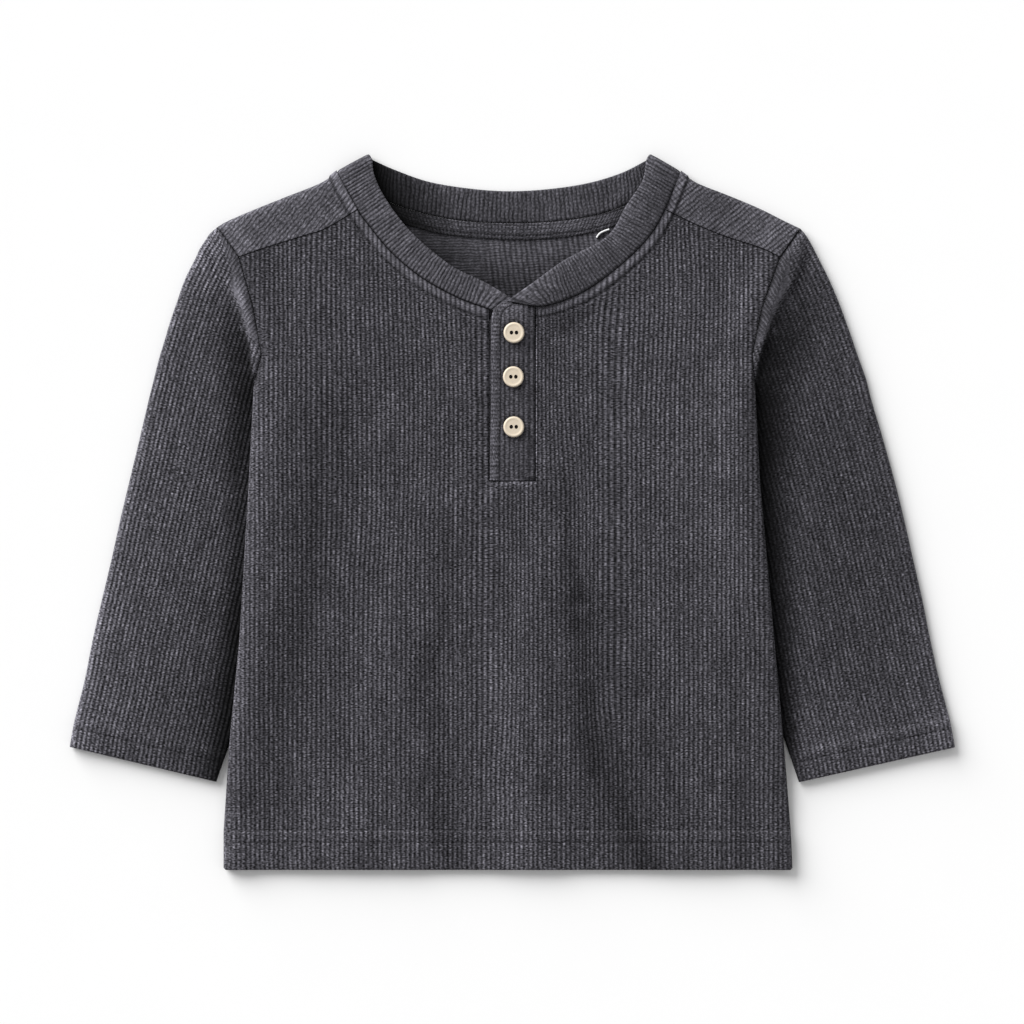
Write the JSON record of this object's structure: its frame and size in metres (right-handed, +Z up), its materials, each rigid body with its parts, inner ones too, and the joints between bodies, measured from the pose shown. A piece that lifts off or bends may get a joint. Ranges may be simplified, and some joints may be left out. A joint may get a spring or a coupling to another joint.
{
  "type": "henley shirt",
  "caption": "Baby's long-sleeved henley shirt of charcoal rib knit, buttoned and laid flat on its back, with a banded scoop neck, a short buttoned placket and forward shoulder seams.",
  "frame": {"origin": "centre of the shirt's outline, on the surface that its back lies on", "axes": "+X from the picture's left sleeve to its right sleeve, +Y from the hem to the neck, +Z up from the surface, out of the front"},
  "size_m": [0.4244, 0.3426, 0.0084],
  "materials": {
    "rib_knit": "matt charcoal heather rib knit, soft, with paler flecks",
    "neck_rib": "matt charcoal heather rib, doubled, ribs over its width",
    "tape": "matt plain charcoal tape",
    "button": "cream horn-like resin, softly polished, with a faint grain",
    "label": "white satin ribbon"
  },
  "bodies": {
    "root": {"front": "rib_knit", "back": "rib_knit", "sleeve_left": "rib_knit", "sleeve_right": "rib_knit", "neckband": "neck_rib", "neck_tape": "tape", "placket_upper": "rib_knit", "placket_under": "rib_knit", "button_top": "button", "button_middle": "button", "button_bottom": "button", "size_label": "label"}
  },
  "joints": []
}
